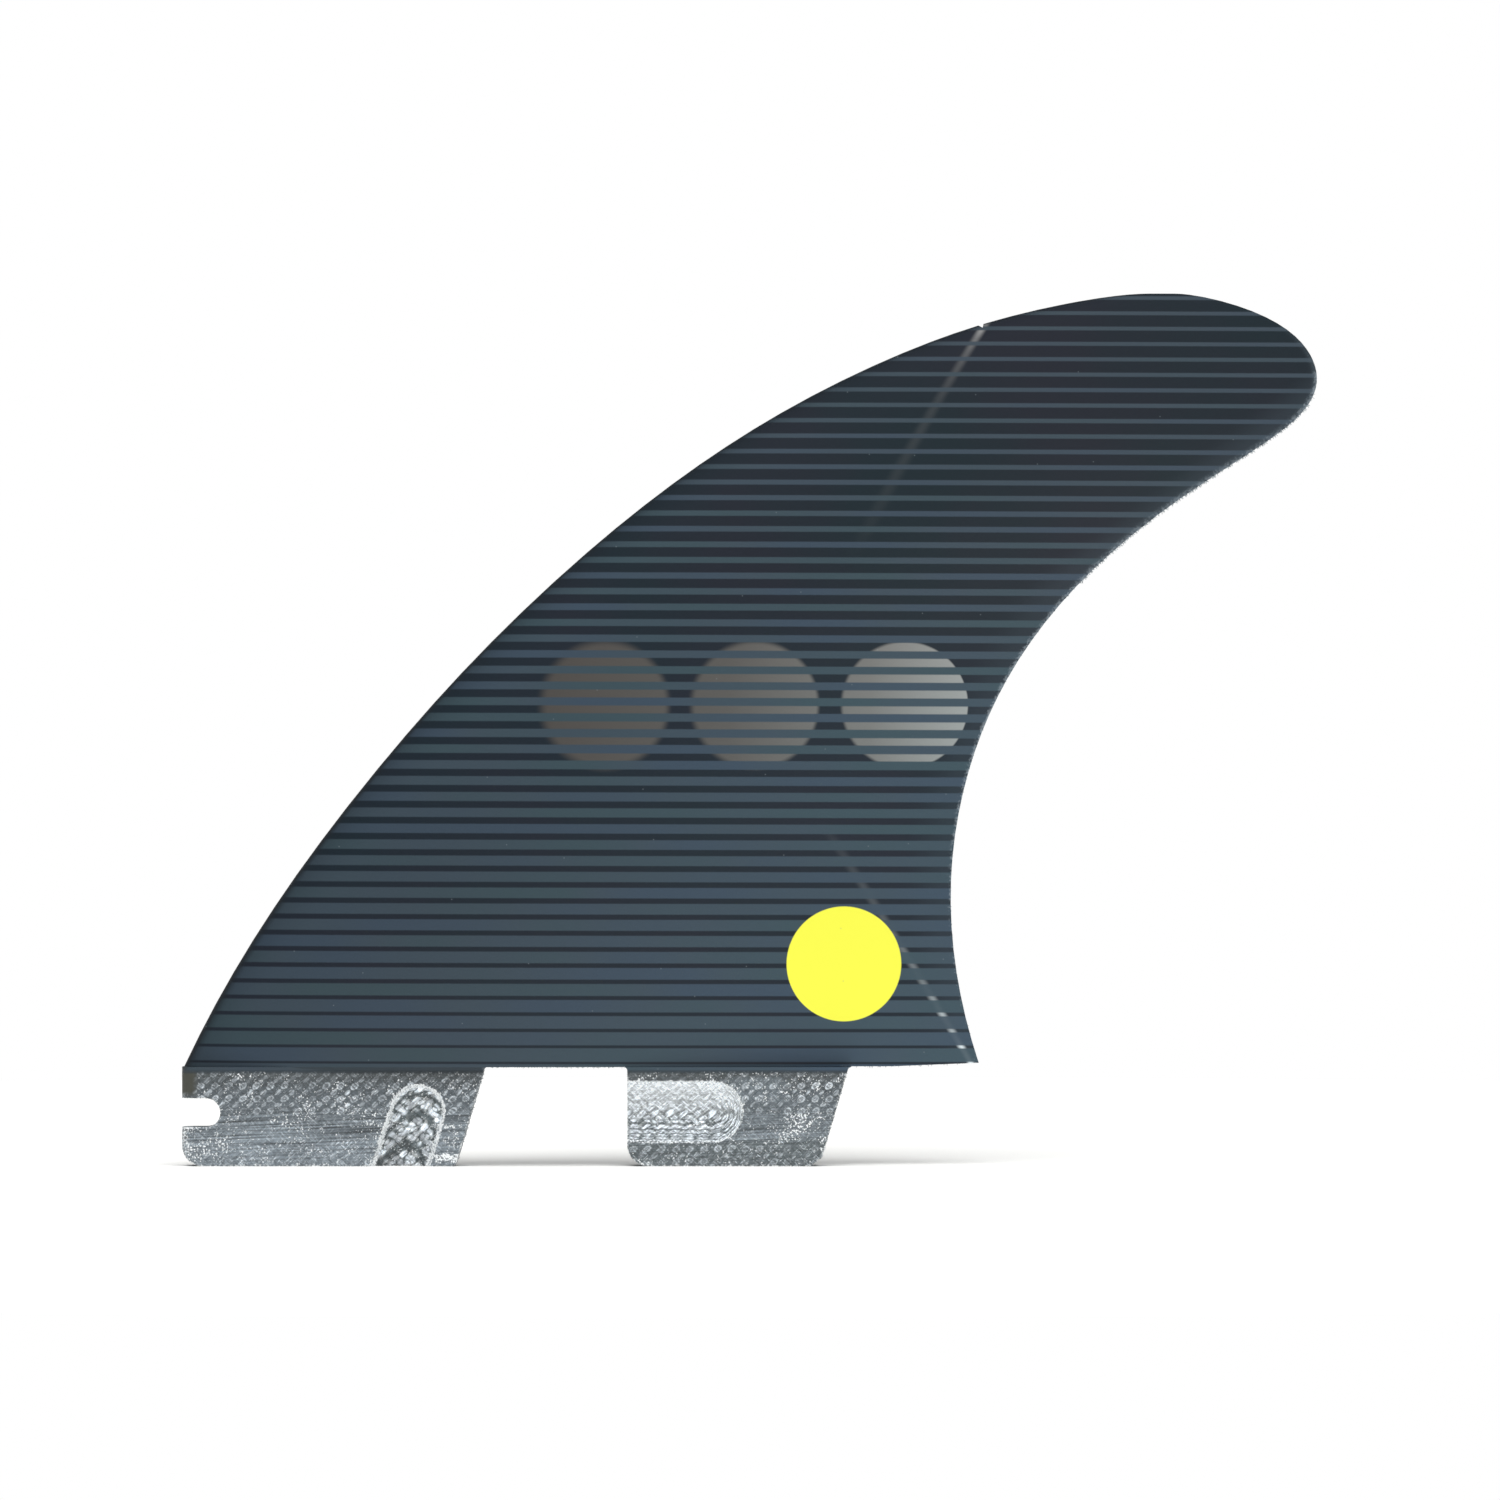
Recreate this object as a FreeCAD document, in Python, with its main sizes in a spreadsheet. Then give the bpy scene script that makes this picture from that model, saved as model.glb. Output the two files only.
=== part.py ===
import FreeCAD, Part

import math
import os

import Sketcher

# A surfboard side fin with two tabs, laid up and moulded in one piece from glass fibre and resin.
# +X runs aft along the board, +Z up out of the board, and the flat inner face looks towards +Y.
# The origin lies on the seat, the plane where the blade meets the board, at the middle of the
# tabs' length and of their thickness.

SIZES = [
    # Blade
    ("base_length", 111.0),
    ("blade_depth", 107.8),
    ("rake", 136.0),
    ("nose_setback", 0.15),
    ("root_thickness", 7.0),
    ("tip_thickness", 0.9),
    ("edge_thickness", 0.8),
    ("inner_face", 3.3),
    ("heel_rise", 0.45),
    ("heel_length", 12.0),
    # A knock in the leading edge, where a seam of the lay-up reaches it near the tip
    ("nick_width", 0.75),
    ("nick_depth", 0.5),
    ("nick_lean", 25.0),
    # Tabs
    ("tab_set_length", 92.8),
    ("front_tab_length", 42.2),
    ("rear_tab_length", 30.8),
    ("tab_depth", 13.8),
    ("tab_thickness", 6.0),
    ("tab_back_lean", 16.4),
    ("nose_radius", 1.9),
    ("front_corner_radius", 3.0),
    ("back_corner_radius", 0.8),
    ("back_corner_chamfer", 1.3),
    ("tab_root_radius", 0.5),
    # Hook notch in the front edge of the front tab
    ("hook_width", 4.0),
    ("hook_reach", 5.4),
    ("hook_below_seat", 6.35),
    # Press pocket of the front tab, a leaning scoop open at the bottom
    ("front_pocket_width", 7.4),
    ("front_pocket_depth", 1.7),
    ("front_pocket_lean", 18.1),
    ("front_pocket_floor_lean", 3.0),
    ("front_pocket_below_seat", 6.2),
    ("front_pocket_from_nose", 32.9),
    # Press pocket of the rear tab, a level scoop open at the front
    ("rear_pocket_width", 8.5),
    ("rear_pocket_depth", 1.8),
    ("rear_pocket_length", 16.1),
    ("rear_pocket_below_seat", 6.2),
]

# Plan shape of the blade at eleven stations from base to tip: how far the leading edge has swept
# back, as a share of the rake, and the chord there, as a share of the base length.
SWEEP_AND_CHORD = [
    (0.0000, 1.000),
    (0.0841, 0.861),
    (0.1823, 0.757),
    (0.2852, 0.690),
    (0.3907, 0.661),
    (0.4969, 0.665),
    (0.6045, 0.659),
    (0.7128, 0.547),
    (0.8176, 0.375),
    (0.9174, 0.181),
    (0.9868, 0.036),
]

# The station where the leading edge is nicked
NICKED = 8

# Control points of the cambered outer face across one chord: the share of the chord from the
# leading edge, the share of the thin edge's thickness and the share of the foil's own thickness.
CAMBER = [
    (0.000, 0.35, 0.17),
    (0.000, 0.80, 0.42),
    (0.050, 1.00, 0.78),
    (0.220, 1.00, 1.03),
    (0.500, 1.00, 1.01),
    (0.800, 1.00, 0.38),
    (1.000, 1.00, 0.00),
]

# Share of the chord over which the leading edge rolls onto the flat inner face.
NOSE_ROLL = 0.014

# The foil thins towards the tip with the depth that is left, raised to this power.
THINNING = 0.75

# How far a cutting outline runs past the surface that it opens.
PAST = 2.0

doc = FreeCAD.newDocument("surfboard_fin")

sheet = doc.addObject("Spreadsheet::Sheet", "Sizes")
for line, (alias, value) in enumerate(SIZES, start=1):
    sheet.set(f"A{line}", alias)
    sheet.set(f"B{line}", str(value))
    sheet.setAlias(f"B{line}", alias)
doc.recompute()


def size(alias):
    return float(getattr(sheet, alias))


# The foiled blade
def curve_through(points, stations):
    curve = Part.BSplineCurve()
    curve.interpolate(Points=points, Parameters=stations)
    return curve


def skin(rows, spine, degree):
    """A smooth face on rows of control points, each row running from base to tip."""
    spans = len(rows) - degree
    surface = Part.BSplineSurface()
    surface.buildFromPolesMultsKnots(
        rows,
        [degree + 1] + [1] * (spans - 1) + [degree + 1],
        spine.getMultiplicities(),
        [step / spans for step in range(spans + 1)],
        spine.getKnots(),
        False,
        False,
        degree,
        spine.Degree,
    )
    return surface.toShape()


def level_rim(sides, height):
    """The flat face that closes the side faces at one height."""
    rim = []
    for side in sides:
        for edge in side.Edges:
            box = edge.BoundBox
            if max(abs(box.ZMin - height), abs(box.ZMax - height)) < 1e-6:
                rim.append(edge)
    return Part.Face(Part.Wire(Part.__sortEdges__(rim)))


def blade_shape():
    """Flat inside, cambered outside, with a blunt nose and a thin trailing edge."""
    base_front = size("nose_setback") - size("tab_set_length") / 2
    thin_edge = size("edge_thickness")
    last = len(SWEEP_AND_CHORD) - 1
    stations = [step / last for step in range(last + 1)]
    leading, trailing, foil = [], [], []
    for station, (sweep, chord) in zip(stations, SWEEP_AND_CHORD):
        left_above = (1 - station) ** 2
        height = size("blade_depth") * (1 - left_above)
        nose = base_front + size("rake") * sweep
        swell = (size("root_thickness") - size("tip_thickness")) * left_above**THINNING
        leading.append(FreeCAD.Vector(nose, 0, height))
        trailing.append(FreeCAD.Vector(nose + size("base_length") * chord, 0, height))
        foil.append(FreeCAD.Vector(0, size("tip_thickness") - thin_edge + swell, height))

    spine = curve_through(leading, stations)
    nose_poles = spine.getPoles()
    tail_poles = curve_through(trailing, stations).getPoles()
    foil_poles = curve_through(foil, stations).getPoles()

    def row(along, edge_share, foil_share):
        points = []
        for nose, tail, foil_pole in zip(nose_poles, tail_poles, foil_poles):
            x = nose.x + (tail.x - nose.x) * along
            y = size("inner_face") - thin_edge * edge_share - foil_pole.y * foil_share
            points.append(FreeCAD.Vector(x, y, nose.z))
        return points

    outer_rows = [row(*point) for point in CAMBER]
    inner_nose = row(NOSE_ROLL, 0, 0)
    inner_tail = row(1, 0, 0)
    sides = [
        skin(outer_rows, spine, 3),
        skin([outer_rows[0], row(0, 0, 0), inner_nose], spine, 2),
        skin([inner_nose, inner_tail], spine, 1),
        skin([inner_tail, outer_rows[-1]], spine, 1),
    ]
    ends = [level_rim(sides, 0.0), level_rim(sides, size("blade_depth"))]
    shell = Part.makeShell(sides + ends)
    shell.sewShape()
    solid = Part.Solid(shell)
    if solid.Volume < 0:
        solid.reverse()
    return solid


blade = doc.addObject("Part::Feature", "blade")
blade.Shape = blade_shape()

body = doc.addObject("PartDesign::Body", "fin")
body.Label = "fin"
body.BaseFeature = blade
doc.recompute()


# Helpers for the sketches
def origin_plane(role):
    return next(item for item in body.Origin.OriginFeatures if item.Role == role)


def sketch_on(role, name):
    sketch = body.newObject("Sketcher::SketchObject", name)
    sketch.AttachmentSupport = [(origin_plane(role), "")]
    sketch.MapMode = "FlatFace"
    return sketch


def hold(sketch, kind, curve, end, formula):
    """Bind how far one point of a curve is across or up from the sketch's origin."""
    place = float(sketch.evalExpression(formula))
    number = sketch.addConstraint(Sketcher.Constraint(kind, -1, 1, curve, end, place))
    sketch.setExpression(f"Constraints[{number}]", formula)


def draw(sketch, path):
    """A closed outline: each step gives where a line or an arc starts, and an arc its centre."""

    def spot(across, up):
        place = [float(sketch.evalExpression(formula)) for formula in (across, up)]
        return FreeCAD.Vector(*place, 0)

    starts = [spot(*step[:2]) for step in path]
    first = sketch.GeometryCount
    heads, tails = [], []
    for step, start, end in zip(path, starts, starts[1:] + starts[:1]):
        if len(step) == 2:
            curve = sketch.addGeometry(Part.LineSegment(start, end))
            anticlockwise = True
        else:
            centre = spot(*step[2:])
            to_start, to_end = start - centre, end - centre
            anticlockwise = to_start.cross(to_end).z > 0
            low, high = (to_start, to_end) if anticlockwise else (to_end, to_start)
            circle = Part.Circle(centre, FreeCAD.Vector(0, 0, 1), to_start.Length)
            low_angle = math.atan2(low.y, low.x)
            high_angle = math.atan2(high.y, high.x)
            curve = sketch.addGeometry(Part.ArcOfCircle(circle, low_angle, high_angle))
            hold(sketch, "DistanceX", curve, 3, step[2])
        heads.append((curve, 1 if anticlockwise else 2))
        tails.append((curve, 2 if anticlockwise else 1))
    for step, head, before in zip(path, heads, tails[-1:] + tails[:-1]):
        sketch.addConstraint(Sketcher.Constraint("Coincident", *before, *head))
        hold(sketch, "DistanceX", *head, step[0])
        hold(sketch, "DistanceY", *head, step[1])


def straight_through(kind, sketch, name):
    """A pad or pocket that runs the same way to both sides of the sketch."""
    feature = body.newObject(kind, name)
    feature.Profile = sketch
    feature.SideType = "Symmetric"
    return feature


def cross_edges(feature, places):
    """Names of a shape's edges that run straight across the tabs at the given places."""
    names = []
    for across, up in places:
        spot = (float(body.evalExpression(across)), float(body.evalExpression(up)))
        for number, edge in enumerate(feature.Shape.Edges, start=1):
            ends = [(vertex.X, vertex.Z) for vertex in edge.Vertexes]
            if len(ends) == 2 and max(math.dist(spot, end) for end in ends) < 1e-4:
                names.append(f"Edge{number}")
    return names


# Places along the tabs, as formulas of the sizes
TAB_FRONT = "-Sizes.tab_set_length / 2"
TAB_BACK = "Sizes.tab_set_length / 2"
GAP_FRONT = f"({TAB_FRONT} + Sizes.front_tab_length)"
GAP_BACK = f"({TAB_BACK} - Sizes.rear_tab_length)"
BOTTOM = "-Sizes.tab_depth"
SLANT = "Sizes.tab_depth * tan(Sizes.tab_back_lean)"
HALF_TAB = "Sizes.tab_thickness / 2"
HEEL = f"({TAB_FRONT} + Sizes.nose_setback + Sizes.base_length)"
NICK_ALONG = f"{TAB_FRONT} + Sizes.nose_setback + Sizes.rake * {SWEEP_AND_CHORD[NICKED][0]}"
NICK_UP = f"Sizes.blade_depth * (1 - (1 - {NICKED / (len(SWEEP_AND_CHORD) - 1)}) ^ 2)"

# The underside of the blade lifts a little at the heel
heel_sketch = sketch_on("XZ_Plane", "heel_outline")
draw(
    heel_sketch,
    [
        (f"{HEEL} - Sizes.heel_length", "0"),
        (f"{HEEL} + {PAST}", f"-{PAST}"),
        (f"{HEEL} + {PAST}", f"Sizes.heel_rise * (1 + {PAST} / Sizes.heel_length)"),
    ],
)
heel = straight_through("PartDesign::Pocket", heel_sketch, "heel")
heel.Type = "ThroughAll"
doc.recompute()

# The nick is a small V, square to the leading edge. Its sides run on to three times its size.
NICK_RIGHT = ("cos(Sizes.nick_lean)", "sin(Sizes.nick_lean)")
NICK_OUT = ("-sin(Sizes.nick_lean)", "cos(Sizes.nick_lean)")
nick_sketch = sketch_on("XZ_Plane", "nick_outline")
draw(
    nick_sketch,
    [
        tuple(
            f"{place} + Sizes.nick_width / 2 * {aside} * {right} + Sizes.nick_depth * {outside} * {out}"
            for place, right, out in zip((NICK_ALONG, NICK_UP), NICK_RIGHT, NICK_OUT)
        )
        for aside, outside in ((0, -1), (3, 2), (-3, 2))
    ],
)
nick = straight_through("PartDesign::Pocket", nick_sketch, "nick")
nick.Type = "ThroughAll"
doc.recompute()

# Both tabs stand under the blade, with upright fronts, leaning backs and filleted roots
ROOT = "Sizes.tab_root_radius"
LEAN = "Sizes.tab_back_lean"
ROOT_CENTRE = f"{ROOT} * (1 - sin({LEAN})) / cos({LEAN})"


def back_root(back):
    """The two ends of the fillet between the seat and a tab's leaning back."""
    centre = (f"{back} + {ROOT_CENTRE}", f"-{ROOT}")
    on_back = (f"{centre[0]} - {ROOT} * cos({LEAN})", f"-{ROOT} * (1 - sin({LEAN}))")
    return [(*on_back, *centre), (centre[0], "0")]


tab_sketch = sketch_on("XZ_Plane", "tab_outlines")
draw(
    tab_sketch,
    [
        (TAB_FRONT, "0"),
        (TAB_FRONT, BOTTOM),
        (f"{GAP_FRONT} - {SLANT}", BOTTOM),
        *back_root(GAP_FRONT),
    ],
)
draw(
    tab_sketch,
    [
        (f"{GAP_BACK} - {ROOT}", "0", f"{GAP_BACK} - {ROOT}", f"-{ROOT}"),
        (GAP_BACK, f"-{ROOT}"),
        (GAP_BACK, BOTTOM),
        (f"{TAB_BACK} - {SLANT}", BOTTOM),
        *back_root(TAB_BACK),
    ],
)
tabs = straight_through("PartDesign::Pad", tab_sketch, "tabs")
tabs.setExpression("Length", "Sizes.tab_thickness")
doc.recompute()


def dress(kind, name, base, places, measure, formula):
    """Round or bevel the edges that run across the tabs at the given places."""
    feature = body.newObject(kind, name)
    feature.Base = (base, cross_edges(base, places))
    feature.setExpression(measure, formula)
    doc.recompute()
    return feature


front_corners = dress(
    "PartDesign::Fillet",
    "front_corners",
    tabs,
    [(TAB_FRONT, BOTTOM), (GAP_BACK, BOTTOM)],
    "Radius",
    "Sizes.front_corner_radius",
)
back_corner = dress(
    "PartDesign::Fillet",
    "back_corner",
    front_corners,
    [(f"{GAP_FRONT} - {SLANT}", BOTTOM)],
    "Radius",
    "Sizes.back_corner_radius",
)
back_bevel = dress(
    "PartDesign::Chamfer",
    "back_bevel",
    back_corner,
    [(f"{TAB_BACK} - {SLANT}", BOTTOM)],
    "Size",
    "Sizes.back_corner_chamfer",
)
# The front tab's nose is rounded in plan, from the seat down
nose_sketch = sketch_on("XY_Plane", "nose_outline")
ROUND_END = f"{TAB_FRONT} + Sizes.nose_radius"
draw(
    nose_sketch,
    [
        (ROUND_END, HALF_TAB, ROUND_END, f"{HALF_TAB} - Sizes.nose_radius"),
        (TAB_FRONT, f"{HALF_TAB} - Sizes.nose_radius"),
        (TAB_FRONT, f"Sizes.nose_radius - {HALF_TAB}", ROUND_END, f"Sizes.nose_radius - {HALF_TAB}"),
        (ROUND_END, f"-{HALF_TAB}"),
        (ROUND_END, f"-{HALF_TAB} - {PAST}"),
        (f"{TAB_FRONT} - {PAST}", f"-{HALF_TAB} - {PAST}"),
        (f"{TAB_FRONT} - {PAST}", f"{HALF_TAB} + {PAST}"),
        (ROUND_END, f"{HALF_TAB} + {PAST}"),
    ],
)
nose = body.newObject("PartDesign::Pocket", "nose")
nose.Profile = nose_sketch
nose.Type = "ThroughAll"
doc.recompute()

# The hook notch runs back into the nose and ends in a half round
hook_sketch = sketch_on("XZ_Plane", "hook_outline")
HOOK_HALF = "Sizes.hook_width / 2"
HOOK_LEVEL = "-Sizes.hook_below_seat"
HOOK_END = f"({TAB_FRONT} + Sizes.hook_reach)"
HOOK_CENTRE = f"{HOOK_END} - {HOOK_HALF}"
draw(
    hook_sketch,
    [
        (f"{TAB_FRONT} - {PAST}", f"{HOOK_LEVEL} - {HOOK_HALF}"),
        (HOOK_CENTRE, f"{HOOK_LEVEL} - {HOOK_HALF}", HOOK_CENTRE, HOOK_LEVEL),
        (HOOK_END, HOOK_LEVEL, HOOK_CENTRE, HOOK_LEVEL),
        (HOOK_CENTRE, f"{HOOK_LEVEL} + {HOOK_HALF}"),
        (f"{TAB_FRONT} - {PAST}", f"{HOOK_LEVEL} + {HOOK_HALF}"),
    ],
)
hook = straight_through("PartDesign::Pocket", hook_sketch, "hook")
hook.Type = "ThroughAll"
doc.recompute()


def scoop(name, across, up, turn, fall, width, depth, length):
    """Sink a round-ended scoop into the outer side of a tab.

    The scoop is a rod with a ball end, revolved about its own axis, which lies outside the tab.
    The ball's centre is across and up from the origin, and the rod runs back from it.
    """
    radius = f"(({width} / 2) ^ 2 + {depth} ^ 2) / (2 * {depth})"
    sketch = sketch_on("XZ_Plane", f"{name}_outline")
    sketch.setExpression("AttachmentOffset.Base.x", across)
    sketch.setExpression("AttachmentOffset.Base.y", up)
    sketch.setExpression("AttachmentOffset.Base.z", f"{HALF_TAB} + {radius} - {depth}")
    sketch.setExpression("AttachmentOffset.Rotation.Yaw", turn)
    sketch.setExpression("AttachmentOffset.Rotation.Pitch", fall)
    draw(
        sketch,
        [
            (radius, "0", "0", "0"),
            ("0", radius),
            (f"-({length})", radius),
            (f"-({length})", "0"),
        ],
    )
    groove = body.newObject("PartDesign::Groove", name)
    groove.Profile = sketch
    groove.ReferenceAxis = (sketch, ["H_Axis"])
    groove.Angle = 360
    doc.recompute()
    return groove


front_scoop = scoop(
    "front_scoop",
    f"{TAB_FRONT} + Sizes.front_pocket_from_nose",
    "-Sizes.front_pocket_below_seat",
    "90 - Sizes.front_pocket_lean",
    "-Sizes.front_pocket_floor_lean",
    "Sizes.front_pocket_width",
    "Sizes.front_pocket_depth",
    f"Sizes.tab_depth + {PAST}",
)
rear_scoop = scoop(
    "rear_scoop",
    f"{GAP_BACK} + Sizes.rear_pocket_length - Sizes.rear_pocket_width / 2",
    "-Sizes.rear_pocket_below_seat",
    "0",
    "0",
    "Sizes.rear_pocket_width",
    "Sizes.rear_pocket_depth",
    f"Sizes.rear_pocket_length + {PAST}",
)

# The same two scoops are sunk into the inner side
far_side = body.newObject("PartDesign::Mirrored", "far_side")
far_side.Originals = [front_scoop, rear_scoop]
far_side.MirrorPlane = (origin_plane("XZ_Plane"), [""])
body.Tip = far_side
doc.recompute()

# Every feature has to have worked, and each one adds or takes the material that it should
for item in doc.Objects:
    if "Invalid" in item.State or "Error" in item.State:
        raise RuntimeError(f"{item.Label} failed: {item.State}")

steps = [blade, heel, nick, tabs, front_corners, back_corner, back_bevel]
steps += [nose, hook, front_scoop, rear_scoop, far_side]
for before, after in zip(steps, steps[1:]):
    gain = after.Shape.Volume - before.Shape.Volume
    if gain == 0 or (gain > 0) != (after is tabs):
        raise RuntimeError(f"{after.Label} changed the volume by {gain:.3f} cubic mm")

fin = body.Shape
if fin.isNull() or not fin.isValid() or len(fin.Solids) != 1:
    raise RuntimeError("the fin is not one valid solid")

os.makedirs("parts", exist_ok=True)
fin.exportStep(f"parts/{body.Label}.step")
box = fin.BoundBox
print(f"fin: {box.XLength:.2f} x {box.YLength:.2f} x {box.ZLength:.2f} mm, {fin.Volume:.0f} cubic mm")
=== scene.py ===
import functools
import math
import random
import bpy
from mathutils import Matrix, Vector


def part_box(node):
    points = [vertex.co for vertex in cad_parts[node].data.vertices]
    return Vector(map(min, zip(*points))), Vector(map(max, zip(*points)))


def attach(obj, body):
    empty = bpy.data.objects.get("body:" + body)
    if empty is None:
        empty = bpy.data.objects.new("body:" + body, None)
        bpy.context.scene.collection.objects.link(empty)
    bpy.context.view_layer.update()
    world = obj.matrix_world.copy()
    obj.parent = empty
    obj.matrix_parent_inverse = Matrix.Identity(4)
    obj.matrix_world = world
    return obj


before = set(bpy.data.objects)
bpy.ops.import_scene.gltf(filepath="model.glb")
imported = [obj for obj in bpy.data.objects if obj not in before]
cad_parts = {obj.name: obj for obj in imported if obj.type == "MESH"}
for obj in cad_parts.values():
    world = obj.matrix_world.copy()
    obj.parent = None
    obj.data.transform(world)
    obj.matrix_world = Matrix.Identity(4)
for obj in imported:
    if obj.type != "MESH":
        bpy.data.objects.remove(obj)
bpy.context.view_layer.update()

from types import SimpleNamespace

import bmesh
import bpy
from mathutils import Vector
from mathutils.bvhtree import BVHTree

FIN_LOW, FIN_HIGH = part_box("fin")

bl_info = {
    "name": "Surfboard fin",
    "version": (1, 0, 0),
    "blender": (4, 5, 0),
    "location": "View3D > Sidebar > Fin",
    "description": "Finishes the moulded side fin and sets it up in a pale studio",
    "category": "Object",
}

MM = 0.001

# The kinds of shader node that come up most.
MATH = "ShaderNodeMath"
VECTOR = "ShaderNodeVectorMath"
RANGE = "ShaderNodeMapRange"
RAMP = "ShaderNodeValToRGB"
NOISE = "ShaderNodeTexNoise"
MIX = "ShaderNodeMix"
COMBINE = "ShaderNodeCombineXYZ"

# The photograph: a square frame, its scale on the fin, and where the fin's origin lies in it.
PHOTO_SIZE = 1500
MM_PER_PIXEL = 0.13934
ORIGIN_PIXEL = (515.5, 1066.5)

# Lengths from here on are in millimetres. A pair is where a change begins and where it is whole.
TIP = FIN_HIGH.z / MM

# The print ends a little below the seat, on the tabs, with a soft dark line of painted shade along
# its end.
PRINT_END = -0.65
PRINT_BLUR = 0.12
PRINT_EDGE_SHADE = (0.10, 0.32)

# Where a light stripe lies when counted from the seat, in pitches.
STRIPE_START = 0.2405
# How much the printed sheet was laid off level: the stripes fall this much towards the heel.
STRIPE_FALL = 0.003
# Half of a stripe's soft edge, in pitches.
STRIPE_BLUR = 0.045
# Share of the pitch that a light stripe takes, from just under the seat to the tip.
STRIPE_SHARE = (
    (0.0, 0.88),
    (0.05, 0.80),
    (0.12, 0.73),
    (0.23, 0.66),
    (0.31, 0.59),
    (0.42, 0.54),
    (0.56, 0.46),
    (0.67, 0.375),
    (0.81, 0.285),
    (1.0, 0.24),
)

# Round windows without print in a level row, in pixels. Further aft their edges are sharper and the
# painted light from behind in them is brighter.
WINDOWS = ((605, 705), (755, 705), (905, 705))
WINDOWS_SHARPER = (0.0, 62.0)
WINDOWS_PAINTED_GLOW = (0.0, 66.0)

# The two seams: three pixels of each one's curve, how bright it is along its length, from the
# edge inwards, and its half width at the edge and at its inner end.
SEAMS = (
    {
        "pixels": ((984.5, 325), (938, 401), (852, 560)),
        "light": (
            (0.0, 0.62),
            (0.023, 0.52),
            (0.054, 0.28),
            (0.115, 0.16),
            (0.17, 0.11),
            (0.245, 0.075),
            (0.31, 0.052),
            (0.50, 0.040),
            (0.77, 0.020),
            (1.0, 0.0),
        ),
        "width": (0.75, 1.6),
        "colour": "cbcbca",
    },
    {
        "pixels": ((971, 1063), (900, 945), (822, 822)),
        "light": (
            (0.0, 1.0),
            (0.07, 0.86),
            (0.14, 0.40),
            (0.20, 0.50),
            (0.27, 0.30),
            (0.34, 0.20),
            (0.47, 0.16),
            (0.54, 0.11),
            (0.66, 0.07),
            (0.87, 0.03),
            (1.0, 0.0),
        ),
        "width": (0.64, 1.1),
        "colour": "e4e8ea",
    },
)

# The plain disc near the heel, in pixels, and half of its soft edge.
DISC = (844, 964)
DISC_BLUR = 0.06

# Three points of the trailing edge's lower part and three of its part under the tip, in pixels,
# how wide the strip along it is where light comes through, and where the outer part begins.
THIN_EDGES = (
    ((963, 1000), (955, 840), (1019, 660)),
    ((1313, 400), (1190, 495), (1085, 575)),
)
THIN_STRIP = 7.0
OUTER_PART = (62.0, 74.0)
# The cut edge itself shines through from here up.
LIT_PART = (60.0, 72.0)
# Where the resin's tint turns bluer: from the front to the heel, and below the outer part.
BLUER_ALONG = (-10.0, 45.0)
BLUER_BELOW = (66.0, 50.0)

# Half the tabs' thickness, and how far the changes up their faces reach.
TAB_FACE = 3.0
TAB_RISE = (-14.0, 0.0)
# How strongly the cloth shows and how grey the laminate is, from the tabs' feet up to the seat; it
# darkens towards the seat, partly with painted shade under the blade.
WEAVE_UP = (
    (0.0, 0.50),
    (0.22, 0.42),
    (0.34, 0.20),
    (0.49, 0.28),
    (0.57, 0.85),
    (0.80, 1.0),
    (0.9, 0.45),
)
GREY_AND_SHADE_UP = (
    (0.0, "717a81"),
    (0.25, "747d84"),
    (0.45, "697177"),
    (0.75, "545b60"),
    (0.95, "4a4f51"),
)
# Where the rear tab begins, its foot, and the part of the foot that lies below the scoop.
REAR_TAB = (6.0, 12.0)
REAR_FOOT = (-9.6, -10.6)
BELOW_SCOOP = (35.0, 29.0)
# The dark olive nose above the notch, by its back and its foot: smooth resin, darkened with painted
# shade where the tab's front curves away.
SHADED_NOSE_BACK = (-44.9, -43.9)
SHADED_NOSE_FOOT = (-4.4, -3.4)
# The front tab's corner, where more fibres are broken towards the front.
FRONT_CORNER = (-46.4, -42.5)

# The cloth in the tabs: tow spacing, rise of the tows and thickness of a ply.
TOW_SPACING = 1.30
TOW_RISE = math.radians(42)
PLY = 0.30

# Level strips where the tabs are sanded through: middle, level, half length, half height and
# how much more the fibres are broken there.
FRAYED_STRIPS = (
    (-10.6, -8.2, 2.6, 0.35, 0.10),
    (-9.5, -12.7, 2.4, 0.75, 0.17),
    (40.0, -8.0, 4.0, 2.4, 0.06),
    (42.9, -10.8, 0.5, 1.4, 0.12),
)
# A paler patch behind the rear scoop, given in the same way.
PALE_PATCH = (33.6, -3.0, 4.4, 2.0, 0.30)
# The smooth strip over the rear scoop, where the cloth hardly shows.
QUIET_STRIP = (20.0, -1.2, 11.5, 1.3, 0.65)

# The scoops on the tabs' faces: middle of the round end, lean, radius, length of the rim's
# straight sides, width and strength of the broken rim, and how many fibres are set along it.
FRONT_SCOOP = {
    "middle": (-13.5, -6.2),
    "lean": math.radians(18.1),
    "radius": 3.7,
    "length": 7.6,
    "rim": (0.46, 0.30),
    "fibres": 260,
}
REAR_SCOOP = {
    "middle": (27.45, -6.2),
    "lean": math.radians(90),
    "radius": 4.25,
    "length": 11.5,
    "rim": (0.30, 0.12),
    "fibres": 120,
}
# The rear scoop's mouth; where its top is whitest with painted light and its floor turns up with
# painted shade; where its resin lines grow dark; and where its round end is white with painted
# light.
REAR_MOUTH = 12.0
REAR_TOP_PAINTED_LIGHT = (-7.5, -2.6)
REAR_FLOOR_PAINTED_SHADE = (-8.2, -9.6)
REAR_LINES = (28.5, 31.0)
REAR_END_PAINTED_LIGHT = (29.5, 32.0)

# Broken fibres by where they stand: how long they are at most and how far they lean aside.
FRAY = {
    "under the tip": (0.50, 0.7),
    "at the heel": (0.22, 0.7),
    "underside": (0.36, 0.9),
    "tab back": (0.30, 0.8),
    "scoop rim": (0.45, 1.2),
}
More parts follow.
